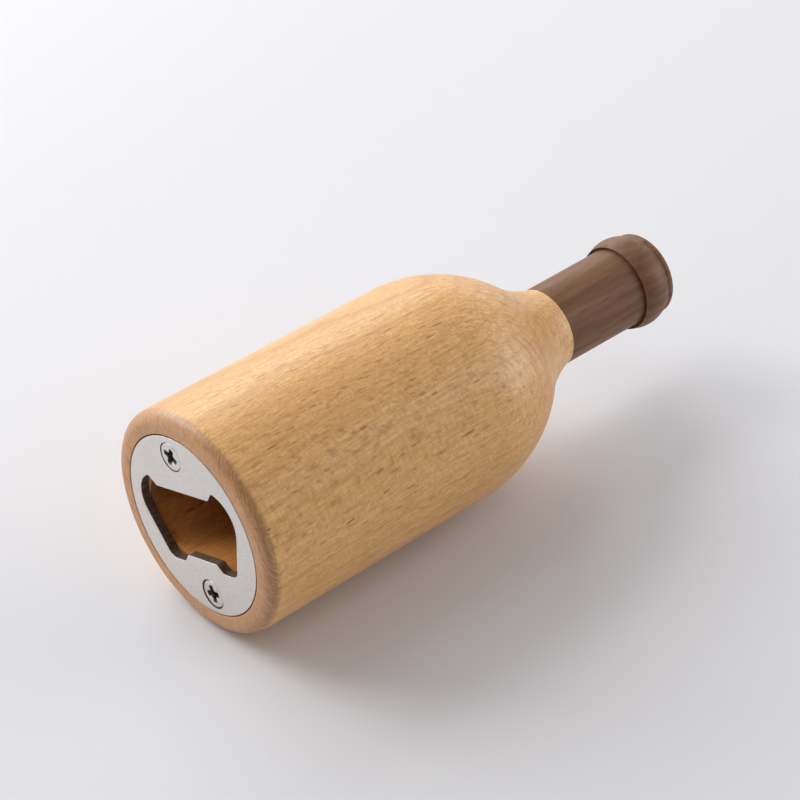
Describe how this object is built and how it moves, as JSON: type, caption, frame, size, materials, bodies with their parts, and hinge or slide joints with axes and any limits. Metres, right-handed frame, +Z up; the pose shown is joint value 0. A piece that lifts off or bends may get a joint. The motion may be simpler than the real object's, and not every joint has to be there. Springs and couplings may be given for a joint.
{
  "type": "bottle opener",
  "caption": "Bottle-shaped wooden bottle opener lying on its side, with a round steel cap lifter let into its base and a dark wooden neck with a beaded lip.",
  "frame": {"origin": "on the supporting surface, under the centre of the object's box", "axes": "+Y along the turning axis from the base to the lip, +Z up, +X to the right when looking at the lip from the base"},
  "size_m": [0.0498, 0.1284, 0.0498],
  "materials": {
    "beech": "sanded and clear lacquered beech, satin",
    "walnut": "sanded and clear lacquered walnut, satin",
    "stainless": "finely brushed stainless steel, dull cut edges",
    "screw_steel": "bright nickel-plated steel"
  },
  "bodies": {
    "root": {"beech_body": "beech", "walnut_neck": "walnut", "opener_plate": "stainless", "plate_screws": "screw_steel"}
  },
  "joints": []
}
